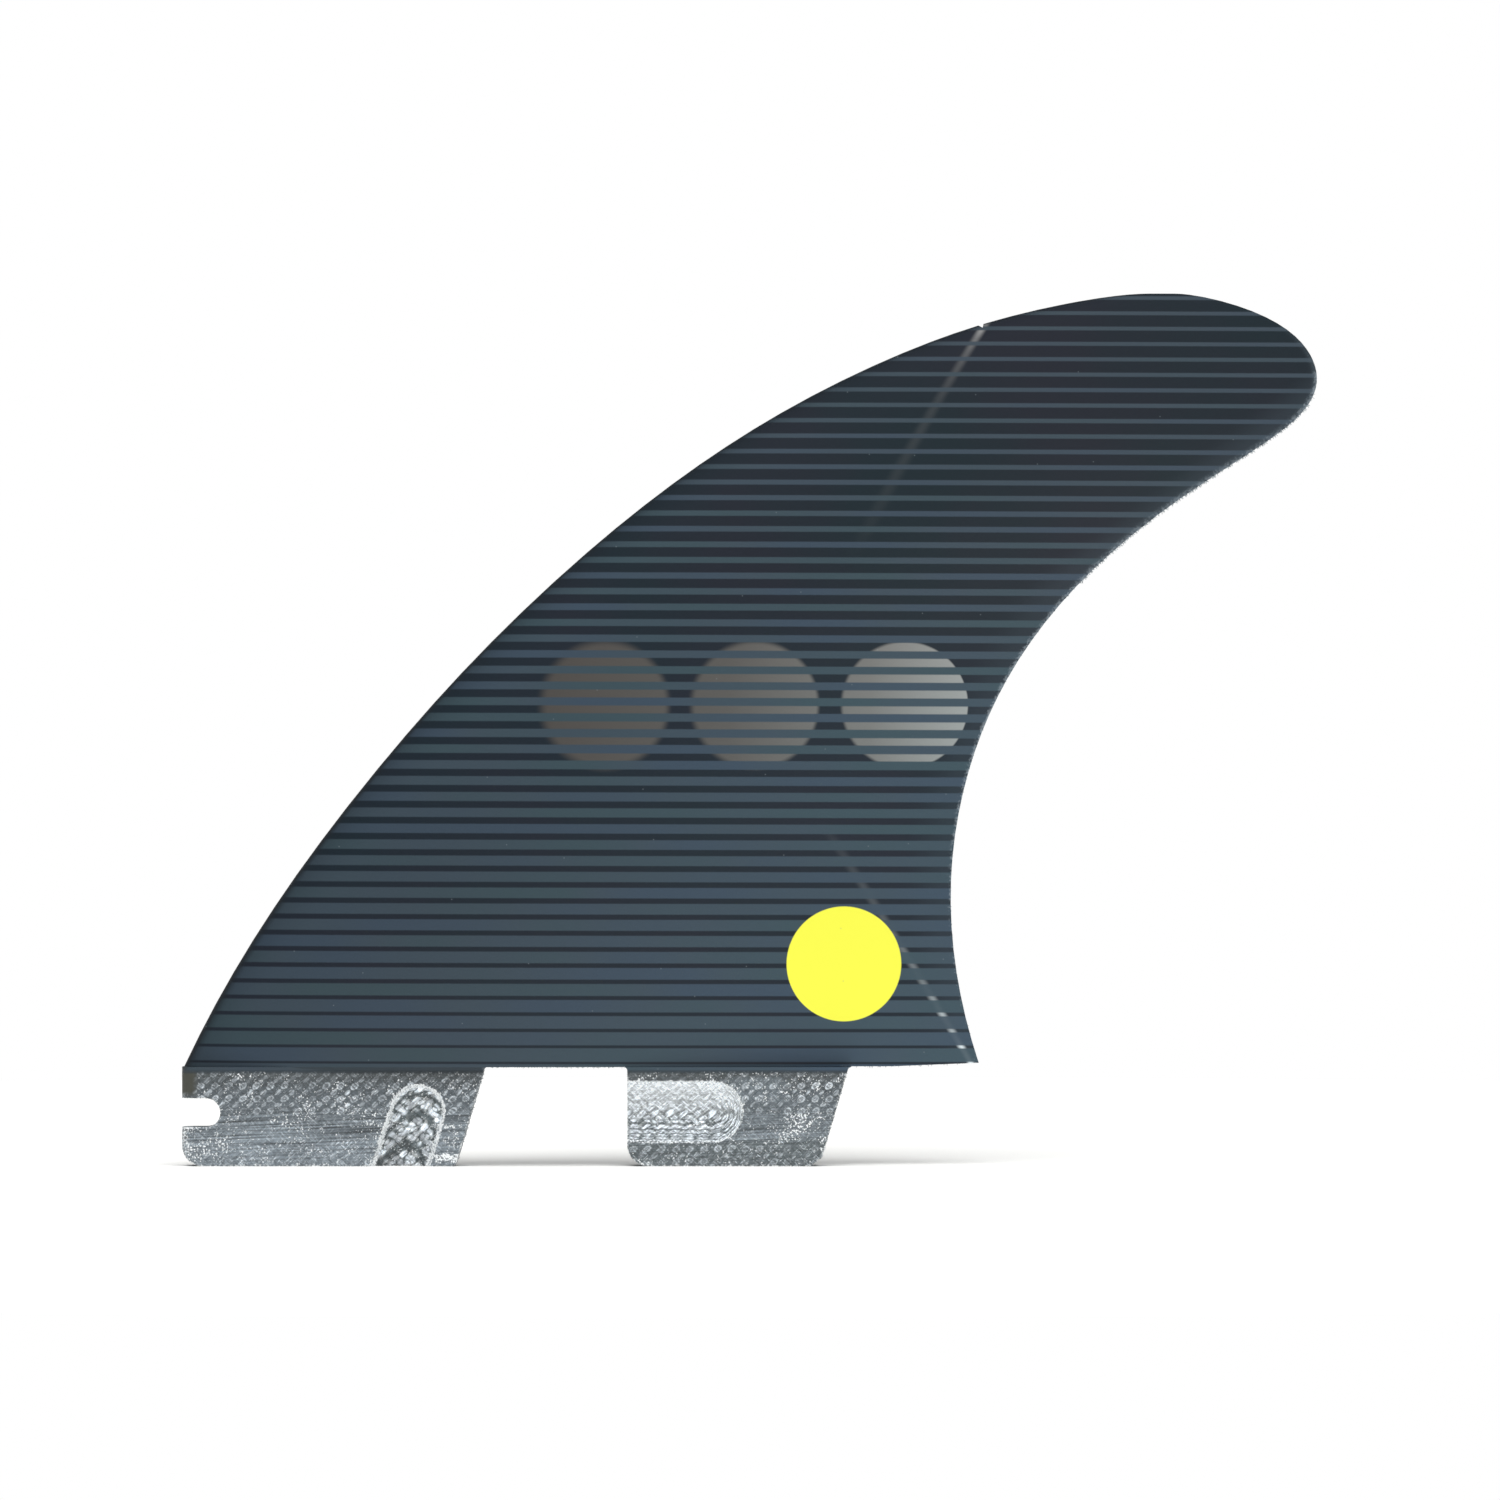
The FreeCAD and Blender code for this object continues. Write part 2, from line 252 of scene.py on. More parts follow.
# How many rays look for the trailing edge, and how many of them have to find it.
EDGE_RAYS = 1500
EDGE_FOUND = 500
# How many rays meet each millimetre of the blade's underside, and each tab's back.
UNDERSIDE_RAYS = 18
BACK_RAYS = 170
# A point in the bay behind the blade, and the middle of the trailing edge's thickness.
BAY_MIDDLE = (112.0, 48.0)
THIN_EDGE_DEPTH = 2.9
# The trailing edge as it is seen from there, in degrees, and where its part under the tip ends.
EDGE_SWEEP = (78.0, 236.0)
TIP_SWEEP_END = math.radians(150)
# Where the blade's underside lies open, along the fin, and places behind each tab.
BLADE_UNDERSIDES = ((-3.6, 15.4), (47.0, 64.4))
TAB_BACKS = (8.0, 55.0)

# The studio, in metres: the floor's radius and the place of its middle, and the way that the
# light from above takes.
FLOOR_RADIUS = 0.4
FLOOR_MIDDLE = (0.03, 0.0, FIN_LOW.z)
LIGHT_WAY = (-0.06, 0.30, -1.0)


def linear_colour(code):
    """Turn an sRGB hex colour such as 2a3139 into a linear one with full alpha."""
    channels = [int(code[start : start + 2], 16) / 255 for start in (0, 2, 4)]
    linear = [c / 12.92 if c <= 0.04045 else ((c + 0.055) / 1.055) ** 2.4 for c in channels]
    return (*linear, 1.0)


def add_node(tree, kind, inputs=(), **settings):
    """Add a node, set its own settings, and fill or link its inputs.

    Inputs are a row in the sockets' order, or a dictionary by name or number. The row of a map
    range node is its value, where the change begins and ends, and what it gives there. A colour
    is an sRGB hex string. Stops for a ramp come as a setting named stops, each a place and a
    grey or a colour.
    """
    node = tree.nodes.new(kind)
    stops = settings.pop("stops", ())
    for name, value in settings.items():
        setattr(node, name, value)
    for index, (place, value) in enumerate(stops):
        elements = node.color_ramp.elements
        element = elements[index] if index < 2 else elements.new(place)
        element.position = place
        grey = (value, value, value, 1.0)
        element.color = linear_colour(value) if isinstance(value, str) else grey
    for name, value in inputs.items() if isinstance(inputs, dict) else enumerate(inputs):
        if isinstance(value, str):
            value = linear_colour(value)
        if isinstance(value, bpy.types.Node):
            value = next(socket for socket in value.outputs if socket.enabled)
        if isinstance(value, bpy.types.NodeSocket):
            tree.links.new(value, node.inputs[name])
        else:
            node.inputs[name].default_value = value
    return node


def new_material(name):
    """An empty material, and the function that adds a node to it."""
    material = bpy.data.materials.new(name)
    material.use_nodes = True
    material.node_tree.nodes.clear()
    return material, functools.partial(add_node, material.node_tree)


def photo_place(across, down):
    """Where a pixel of the photograph lies on the fin, in millimetres along and up."""
    along = (across - ORIGIN_PIXEL[0]) * MM_PER_PIXEL
    return along, (ORIGIN_PIXEL[1] - down) * MM_PER_PIXEL


def curve_through(add, height, pixels):
    """How far along the fin the curve through three pixels lies at each height."""
    (x0, z0), (x1, z1), (x2, z2) = [photo_place(*pixel) for pixel in pixels]
    first = (x1 - x0) / (z1 - z0)
    bend = ((x2 - x1) / (z2 - z1) - first) / (z2 - z0)
    slope = first - bend * (z0 + z1)
    start = x0 - first * z0 + bend * z0 * z1
    line = add(MATH, [height, bend, slope], operation="MULTIPLY_ADD")
    return add(MATH, [line, height, start], operation="MULTIPLY_ADD")


class FinPrintSettings(bpy.types.PropertyGroup):
    """The print under the blade's clear resin"""

    pitch_at_base: bpy.props.FloatProperty(
        name="Stripe pitch at base",
        description="Distance from one light stripe to the next at the seat, in millimetres",
        default=2.267,
        min=0.5,
    )
    pitch_at_tip: bpy.props.FloatProperty(
        name="Stripe pitch at tip",
        description="Distance from one light stripe to the next at the tip, in millimetres",
        default=2.143,
        min=0.5,
    )
    light_colour: bpy.props.StringProperty(
        name="Light stripe",
        description="sRGB hex colour of the light stripes",
        default="3d4b56",
    )
    dark_colour: bpy.props.StringProperty(
        name="Dark ground",
        description="sRGB hex colour of the laminate between the stripes",
        default="222b33",
    )
    disc_colour: bpy.props.StringProperty(
        name="Disc",
        description="sRGB hex colour of the plain disc near the heel",
        default="fcfc4e",
    )
    disc_radius: bpy.props.FloatProperty(
        name="Disc radius",
        description="Radius of the plain disc near the heel, in millimetres",
        default=8.0,
        min=1.0,
    )
    window_radius: bpy.props.FloatProperty(
        name="Window radius",
        description="Radius of the round windows in the print, in millimetres",
        default=8.8,
        min=1.0,
    )


class FinStudioSettings(bpy.types.PropertyGroup):
    """The floor, the lights and the camera"""

    floor_colour: bpy.props.StringProperty(
        name="Floor",
        description="sRGB hex colour of the studio floor",
        default="f4f4f2",
    )
    camera_distance: bpy.props.FloatProperty(
        name="Camera distance",
        description="Distance from the camera to the middle of the fin",
        default=1.5,
        min=0.3,
        unit="LENGTH",
    )
    sky_strength: bpy.props.FloatProperty(
        name="Sky strength",
        description="Strength of the soft light that comes from the tent all round",
        default=0.20,
        min=0.0,
    )
    sun_strength: bpy.props.FloatProperty(
        name="Overhead strength",
        description="Strength of the wide soft light from above",
        default=4.0,
        min=0.0,
    )


def printed_stripes(add, along, height, settings):
    """1 on the light stripes and 0 between them, nearly level and closer towards the tip."""
    height = add(MATH, [along, STRIPE_FALL, height], operation="MULTIPLY_ADD")
    per_mm = 1 / settings.pitch_at_base
    growth = (1 / settings.pitch_at_tip - per_mm) / (2 * TIP)
    rise = add(MATH, [height, growth, per_mm], operation="MULTIPLY_ADD")
    count = add(MATH, [rise, height, STRIPE_START], operation="MULTIPLY_ADD")
    off = add(MATH, [count, 0.5], operation="PINGPONG")
    place = add(RANGE, [height, -1.0, TIP])
    share = add(RAMP, [place], stops=STRIPE_SHARE)
    half = add(MATH, [share, 0.5], operation="MULTIPLY")
    edge = add(MATH, [half, off], operation="SUBTRACT")
    stripes = add(RANGE, [edge, -STRIPE_BLUR, STRIPE_BLUR], interpolation_type="SMOOTHSTEP")
    return stripes, count


def window_light(add, along, flat, settings):
    """1 inside the round windows, with edges that are softer towards the thick leading edge."""
    nearest = None
    for spot in WINDOWS:
        distance = add(VECTOR, [flat, (*photo_place(*spot), 0.0)], operation="DISTANCE")
        if nearest is None:
            nearest = distance
        else:
            nearest = add(MATH, [nearest, distance], operation="MINIMUM")
    blur = add(RANGE, [along, *WINDOWS_SHARPER, 1.0, 0.12])
    inner = add(MATH, [settings.window_radius, blur], operation="SUBTRACT")
    outer = add(MATH, [settings.window_radius, blur], operation="ADD")
    return add(RANGE, [nearest, inner, outer, 1.0, 0.0], interpolation_type="SMOOTHSTEP")


def seam_light(add, along, height, seam):
    """How much light a seam lets through, brightest and narrowest where it reaches the edge."""
    (edge_along, edge), _, (end_along, end) = [photo_place(*pixel) for pixel in seam["pixels"]]
    narrow = math.cos(math.atan((end_along - edge_along) / (end - edge)))
    line = curve_through(add, height, seam["pixels"])
    off = add(MATH, [along, line], operation="SUBTRACT")
    off = add(MATH, [off], operation="ABSOLUTE")
    at_edge, at_end = seam["width"]
    width = add(RANGE, [height, edge, end, at_edge / narrow, at_end / narrow])
    band = add(RANGE, [off, 0.0, width, 1.0, 0.0], interpolation_type="SMOOTHSTEP")
    share = add(RANGE, [height, edge, end])
    fade = add(RAMP, [share], stops=seam["light"])
    return add(MATH, [band, fade], operation="MULTIPLY")


def stripe_ink(add, along, count, outward, settings):
    """Colour of the light stripes."""
    # The ink's tint changes a little from stripe to stripe and along each one.
    stripe = add(MATH, [count, 0.5], operation="ADD")
    stripe = add(MATH, [stripe], operation="FLOOR")
    place = add(MATH, [along, 0.014], operation="MULTIPLY")
    place = add(COMBINE, [place, stripe])
    tint = add(NOISE, {"Vector": place, "Scale": 2.3, "Detail": 1.0})
    ink = add(
        RAMP, [tint], stops=((0.36, "3a4c54"), (0.50, settings.light_colour), (0.64, "3b4a59"))
    )
    late = add(RANGE, {"Value": outward, "From Min": 0.6, "To Max": 0.85})
    ink = add(MIX, {0: late, 6: ink, 7: "3d4750"}, data_type="RGBA")
    # It lies thinner and looks paler towards the tip, and towards the heel as well, where the
    # laminate under it is thin.
    thinner = add(RANGE, {"Value": outward, "From Min": 0.25, "To Min": 0.88, "To Max": 1.20})
    rearward = add(RANGE, {"Value": outward, "To Min": 0.0035, "To Max": 0.0007})
    rearward = add(MATH, [along, rearward, 1.0], operation="MULTIPLY_ADD")
    thinner = add(MATH, [thinner, rearward], operation="MULTIPLY")
    return add(VECTOR, {0: ink, "Scale": thinner}, operation="SCALE")


def dark_ground(add, flat, along, height, outward, settings):
    """Colour of the laminate between the stripes, dark except in the windows."""
    ground = add(
        RAMP,
        [outward],
        stops=((0.15, "17202a"), (0.40, "19232d"), (0.80, settings.dark_colour), (1.0, "242c34")),
    )
    cloud = add(NOISE, {"Vector": flat, "Scale": 0.045, "Detail": 2.0})
    cloud = add(RANGE, [cloud, 0.35, 0.65])
    cloud = add(MIX, {0: cloud, 4: (0.85, 1.04, 1.0), 5: (1.2, 0.97, 1.03)}, data_type="VECTOR")
    ground = add(VECTOR, [ground, cloud], operation="MULTIPLY")

    # Towards the trailing edge the blade is so thin that light comes through.
    lower, outer = (curve_through(add, height, pixels) for pixels in THIN_EDGES)
    outer_part = add(RANGE, [height, *OUTER_PART])
    line = add(MIX, {0: outer_part, 2: lower, 3: outer})
    behind = add(MATH, [along, line], operation="SUBTRACT")
    most = add(MIX, {0: outer_part, 2: 0.29, 3: 0.45})
    thin = add(RANGE, [behind, -THIN_STRIP, 0.0, 0.0, most], interpolation_type="SMOOTHSTEP")
    ground = add(MIX, {0: thin, 6: ground, 7: "3d4952"}, data_type="RGBA")

    # Bare laminate in the windows is painted bright as light from behind, more where the blade is
    # thin towards its trailing edge.
    painted_glow = add(RANGE, [along, *WINDOWS_PAINTED_GLOW])
    painted_glow = add(
        RAMP, [painted_glow], stops=((0.0, "4a4643"), (0.45, "5c5956"), (0.75, "7b7976"), (1.0, "a5a6a4"))
    )
    windows = window_light(add, along, flat, settings)
    return add(MIX, {0: windows, 6: ground, 7: painted_glow}, data_type="RGBA")


def blade_print(add, flat, along, height, normal, rolled, settings):
    """Colour of the printed blade seen through its resin."""
    stripes, count = printed_stripes(add, along, height, settings)
    outward = add(RANGE, [height, 0.0, TIP])
    ink = stripe_ink(add, along, count, outward, settings)
    ground = dark_ground(add, flat, along, height, outward, settings)
    for seam in SEAMS:
        painted_glow = seam_light(add, along, height, seam)
        ground = add(MIX, {0: painted_glow, 6: ground, 7: seam["colour"]}, data_type="RGBA")
        veil = add(MATH, [painted_glow, 0.05], operation="MULTIPLY")
        ink = add(MIX, {0: veil, 6: ink, 7: seam["colour"]}, data_type="RGBA")
    blade = add(MIX, {0: stripes, 6: ground, 7: ink}, data_type="RGBA")

    # The resin tints everything a little bluer towards the heel.
    bluer = add(RANGE, [along, *BLUER_ALONG])
    low = add(RANGE, [height, *BLUER_BELOW])
    bluer = add(MATH, [bluer, low], operation="MULTIPLY")
    tint = add(MIX, {0: bluer, 4: (1.0, 1.0, 1.0), 5: (1.0, 1.08, 1.11)}, data_type="VECTOR")
    blade = add(VECTOR, [blade, tint], operation="MULTIPLY")

    # Opaque ink disc near the heel, on the outer face alone.
    off = add(VECTOR, [flat, (*photo_place(*DISC), 0.0)], operation="DISTANCE")
    disc = add(
        RANGE, [off, settings.disc_radius - DISC_BLUR, settings.disc_radius + DISC_BLUR, 1.0, 0.0]
    )
    facing = add("ShaderNodeSeparateXYZ", [normal]).outputs["Y"]
    outer_side = add(MATH, [facing, 0.0], operation="LESS_THAN")
    disc = add(MATH, [disc, outer_side], operation="MULTIPLY")
    blade = add(MIX, {0: disc, 6: blade, 7: settings.disc_colour}, data_type="RGBA")

    # Painted shade round the leading edge, where it rolls away from the front and turns up.
    blade = add(MIX, {0: rolled, 6: blade, 7: "0a141b"}, data_type="RGBA")

    # A few grains of dust, each a sixth of a millimetre across.
    grains = add("ShaderNodeTexVoronoi", {"Vector": flat, "Scale": 0.08}, voronoi_dimensions="2D")
    near = add(RANGE, [grains, 0.004, 0.010, 0.3, 0.0])
    return add(MIX, {0: near, 6: blade, 7: "8d989e"}, data_type="RGBA")


def trailing_edge(add, place, height, blade):
    """Colour of the blade with its trailing edge, cut through the plies, pale and ragged."""
    wide = add("ShaderNodeBevel", {"Radius": 1.5 * MM}, samples=4)
    behind = add(VECTOR, [wide, (1.0, 0.0, -0.3)], operation="DOT_PRODUCT")

    # Under the tip it also lets light through.
    lit = add(RANGE, [behind, 0.15, 0.55, 0.0, 0.5])
    outer_part = add(RANGE, [height, *LIT_PART])
    lit = add(MATH, [lit, outer_part], operation="MULTIPLY")
    blade = add(MIX, {0: lit, 6: blade, 7: "5d6a73"}, data_type="RGBA")

    ragged = add(NOISE, {"Vector": place, "Scale": 3.0, "Detail": 2.0})
    ragged = add(RANGE, [ragged, 0.3, 0.7, 0.4])
    behind = add(MATH, [behind, ragged], operation="MULTIPLY")
    # The pale edge is a hair's breadth at the heel and at the tip, and wider between them.
    outward = add(RANGE, [height, 0.0, TIP])
    broad = add(
        RAMP,
        [outward],
        stops=((0.16, 0.44), (0.32, 0.52), (0.46, 0.62), (0.72, 0.66), (0.86, 0.70), (0.94, 0.46)),
    )
    behind = add(MATH, [behind, broad], operation="MULTIPLY")
    sawn = add(RANGE, [behind, 0.28, 0.40, 0.0, 0.9])
    return add(MIX, {0: sawn, 6: blade, 7: "a3afb8"}, data_type="RGBA")


def scoop_reach(add, flat, scoop):
    """Distance outside a round-ended scoop's outline on the tab's face, negative inside."""
    run = Vector((-math.sin(scoop["lean"]), -math.cos(scoop["lean"]), 0.0))
    side = Vector((-run.y, run.x, 0.0))
    offset = add(VECTOR, [flat, (*scoop["middle"], 0.0)], operation="SUBTRACT")
    down = add(VECTOR, [offset, run], operation="DOT_PRODUCT")
    off = add(VECTOR, [offset, side], operation="DOT_PRODUCT")
    down = add(MATH, [down, 0.0], operation="MINIMUM")
    away = add(COMBINE, [down, off])
    away = add(VECTOR, [away], operation="LENGTH")
    return add(MATH, [away, scoop["radius"]], operation="SUBTRACT")


def strip_mask(add, at, strip):
    """How strongly a short level strip of a tab's face counts at each place."""
    middle, level, half_length, half_height, strength = strip
    shares = []
    for place, centre, half in ((at.along, middle, half_length), (at.height, level, half_height)):
        off = add(MATH, [place, centre], operation="SUBTRACT")
        off = add(MATH, [off], operation="ABSOLUTE")
        shares.append(add(MATH, [off, half], operation="DIVIDE"))
    off = add(MATH, shares, operation="MAXIMUM")
    return add(RANGE, [off, 0.6, 1.0, strength, 0.0])


def slanted_noise(add, place, slant, length, width):
    """Noise drawn out along a line that rises at a slant on the tabs' faces."""
    turned = add(
        "ShaderNodeMapping",
        {"Vector": place, "Rotation": (0.0, -slant, 0.0), "Scale": (length, 1.0, width)},
        vector_type="TEXTURE",
    )
    return add(NOISE, {"Vector": turned, "Scale": 1.0, "Detail": 3.0})


def woven_plies(add, place, depth):
    """Glass cloth stacked in plies.

    Gives how far inside a tow of each set a point lies, the fibres of the upper tow, how far
    away the nearest crossing with the second set on top is, and a chance number of the crossing.
    """
    wander = add(NOISE, {"Vector": place, "Scale": 0.4, "Detail": 1.0})
    half = (0.5, 0.5, 0.5)
    wander = add(VECTOR, [wander.outputs["Color"], half], operation="SUBTRACT")
    loose = add(VECTOR, [wander, half, place], operation="MULTIPLY_ADD")
    ply = add(MATH, [depth], operation="FLOOR")
    level = add(MATH, [depth], operation="FRACT")
    level = add(MATH, [level, 0.5], operation="SUBTRACT")

    # Each ply is laid with its own shift. The two sets of tows cross every spacing.
    sine = math.sin(TOW_RISE) / TOW_SPACING
    cosine = math.cos(TOW_RISE) / TOW_SPACING
    lays, numbers, offs, waves, bodies = [], [], [], [], []
    for direction, shift, flat_top in (
        ((sine, 0.0, -cosine), 0.37, -2.6),
        ((sine, 0.0, cosine), 0.61, -1.5),
    ):
        lay = add(VECTOR, [loose, direction], operation="DOT_PRODUCT")
        lay = add(MATH, [ply, shift, lay], operation="MULTIPLY_ADD")
        number = add(MATH, [lay], operation="ROUND")
        off = add(MATH, [lay, number], operation="SUBTRACT")
        turn = add(MATH, [off, math.pi], operation="MULTIPLY")
        flank = add(MATH, [off, off], operation="MULTIPLY")
        body = add(MATH, [flank, flat_top, 0.26], operation="MULTIPLY_ADD")
        lays.append(lay)
        numbers.append(number)
        offs.append(off)
        waves.append(add(MATH, [turn], operation="COSINE"))
        bodies.append(body)

    crossing = add(MATH, numbers, operation="ADD")
    crossing = add(MATH, [crossing, math.pi], operation="MULTIPLY")
    over = add(MATH, [crossing], operation="COSINE")
    inside = []
    for body, wave, swing in ((bodies[0], waves[1], 0.24), (bodies[1], waves[0], -0.28)):
        rise = add(MATH, [wave, over], operation="MULTIPLY")
        off = add(MATH, [rise, -swing, level], operation="MULTIPLY_ADD")
        off = add(MATH, [off], operation="ABSOLUTE")
        inside.append(add(MATH, [body, off], operation="SUBTRACT"))
    second = add(MATH, [inside[1], inside[0]], operation="GREATER_THAN")

    # How far a point lies from the middle of its crossing, in tow spacings, with the crossings
    # where the first set is on top pushed out of reach.
    away = add(COMBINE, offs)
    away = add(VECTOR, [away, (1.22, 0.84, 1.0)], operation="MULTIPLY")
    away = add(VECTOR, [away], operation="LENGTH")
    crossed = add(MATH, [over, 1.0, away], operation="MULTIPLY_ADD")
    crossed = add(MATH, [crossed, 1.0], operation="ADD")
    cell = add(COMBINE, [*numbers, ply])

    # Fibres run along whichever tow is on top. Real ones are far finer than the render shows,
    # so these are drawn as bundles a quarter of a millimetre wide.
    lay = add(COMBINE, [*lays, ply])
    first_way, second_way = (
        add(VECTOR, [lay, stretch], operation="MULTIPLY")
        for stretch in ((5.5, 0.9, 3.7), (0.9, 5.5, 3.7))
    )
    lay = add(MIX, {0: second, 4: first_way, 5: second_way}, data_type="VECTOR")
    return SimpleNamespace(
        first=inside[0],
        second=inside[1],
        fibre=add(NOISE, {"Vector": lay, "Scale": 1.0, "Detail": 2.0, "Roughness": 0.6}),
        crossed=crossed,
        luck=add("ShaderNodeTexWhiteNoise", {"Vector": cell}),
    )


def tab_places(add, place, flat, along, across, height):
    """Where a point lies on the tabs: how far up, how deep, and how far outside either scoop."""
    reach = add(MATH, [across], operation="ABSOLUTE")
    front = scoop_reach(add, flat, FRONT_SCOOP)
    rear = scoop_reach(add, flat, REAR_SCOOP)
    before_rear = add(MATH, [REAR_MOUTH, along], operation="SUBTRACT")
    rear = add(MATH, [rear, before_rear], operation="MAXIMUM")
    swell = add(NOISE, {"Vector": place, "Scale": 0.16, "Detail": 1.0})
    return SimpleNamespace(
        place=place,
        along=along,
        height=height,
        up=add(RANGE, [height, *TAB_RISE]),
        sunk=add(MATH, [TAB_FACE, reach], operation="SUBTRACT"),
        swell=add(RANGE, {"Value": swell, "To Min": -0.22, "To Max": 0.22}),
        front=front,
        rear=rear,
        in_front=add(RANGE, [front, 0.1, -0.1]),
        in_rear=add(RANGE, [rear, 0.1, -0.1]),
    )


def ply_depth(add, at):
    """How deep a point lies in the lay-up, in plies.

    The tabs' faces aren't quite parallel to the plies, so they cut them at changing levels. In
    the front scoop the plies nearly follow the cut, so few of their edges show there.
    """
    lift = add(
        RAMP,
        [at.up],
        stops=((0.0, 0.70), (0.2, 0.80), (0.34, 0.93), (0.5, 0.90), (0.62, 0.74), (1.0, 0.70)),
    )
    depth = add(MATH, [at.sunk, 1 / PLY, lift], operation="MULTIPLY_ADD")
    slope = add(MATH, [at.height, -0.204, -0.387], operation="MULTIPLY_ADD")
    slope = add(MATH, [at.sunk, 0.18 / PLY, slope], operation="MULTIPLY_ADD")
    depth = add(MIX, {0: at.in_front, 2: depth, 3: slope})
    return add(MATH, [depth, at.swell], operation="ADD")


def moulded_face(add, at, weave, bundle):
    """Colour of the laminate as it was moulded: half clear, with the cloth showing in it."""
    # Short slanting strokes and rings where tows rise to the surface.
    stroke = add(RANGE, [weave.first, 0.07, 0.15, 0.0, 0.8])
    ring = add(
        RAMP,
        [weave.crossed],
        stops=((0.0, 0.75), (0.09, 0.30), (0.19, 0.35), (0.28, 1.0), (0.36, 0.75), (0.44, 0.0)),
    )
    show = add(MATH, [stroke, ring], operation="MAXIMUM")
    own = add(RANGE, {"Value": weave.luck, "To Min": 0.35, "To Max": 1.3})
    patch = add(NOISE, {"Vector": at.place, "Scale": 0.22, "Detail": 2.0})
    patch = add(RANGE, [patch, 0.35, 0.62, 0.55])
    threads = add(RANGE, [weave.fibre, 0.38, 0.62, 0.45, 1.1], clamp=False)
    sanded = add(RAMP, [at.up], stops=WEAVE_UP)
    # Below the rear scoop the weave is sanded less, and shows as strongly as by the seat.
    rear_tab = add(RANGE, [at.along, *REAR_TAB])
    rear_foot = add(RANGE, [at.height, *REAR_FOOT])
    rear_foot = add(MATH, [rear_tab, rear_foot], operation="MULTIPLY")
    below = add(RANGE, [at.along, *BELOW_SCOOP, 0.0, 0.8])
    below = add(MATH, [rear_foot, below], operation="MULTIPLY")
    sanded = add(MATH, [sanded, below], operation="MAXIMUM")
    quiet = strip_mask(add, at, QUIET_STRIP)
    quiet = add(MATH, [1.0, quiet], operation="SUBTRACT")
    for share in (own, patch, threads, sanded, quiet):
        show = add(MATH, [show, share], operation="MULTIPLY")

    # Single bundles that the sanding has laid bare.
    fleck = add(RANGE, [bundle, 0.60, 0.68])
    laid_bare = add(
        RAMP,
        [at.up],
        stops=((0.0, 1.0), (0.25, 0.88), (0.36, 0.30), (0.5, 0.28), (0.62, 0.50), (0.9, 0.20)),
    )
    fleck = add(MATH, [fleck, laid_bare], operation="MULTIPLY")
    show = add(MATH, [show, fleck], operation="MAXIMUM")

    # The rear tab is greyer along its foot than the front one.
    # Grey of the laminate, darker towards the seat, partly with painted shade under the blade.
    base = add(RAMP, [at.up], stops=GREY_AND_SHADE_UP)
    foot = add(MATH, [rear_foot, 0.8], operation="MULTIPLY")
    pale = strip_mask(add, at, PALE_PATCH)
    for share, colour in ((foot, "575e60"), (pale, "87939b"), (show, "c4ccd3")):
        base = add(MIX, {0: share, 6: base, 7: colour}, data_type="RGBA")
    return base


def resin_lines(add, at, weave, depth):
    """How dark the resin lies in a cut: a line or band wherever it passes from ply to ply."""
    between = add(MATH, [depth, 0.5], operation="PINGPONG")
    widest = add(MIX, {0: at.in_front, 2: 0.20, 3: 0.27})
    most = add(RANGE, [at.along, *REAR_LINES, 0.62, 0.95])
    most = add(MIX, {0: at.in_front, 2: most, 3: 0.92})
    resin = add(RANGE, [between, 0.03, widest, most, 0.0], interpolation_type="SMOOTHSTEP")
    lower_tow = add(MATH, [weave.second, weave.first], operation="GREATER_THAN")
    lower_tow = add(MATH, [lower_tow, 0.22], operation="MULTIPLY")
    # In the rear scoop a thinner line parts the two sets of tows inside each ply as well.
    within = add(MATH, [0.5, between], operation="SUBTRACT")
    within = add(RANGE, [within, 0.02, 0.10, 0.5, 0.0])
    within = add(MATH, [within, at.in_rear], operation="MULTIPLY")
    for more in (lower_tow, within):
        resin = add(MATH, [resin, more], operation="MAXIMUM")
    return resin


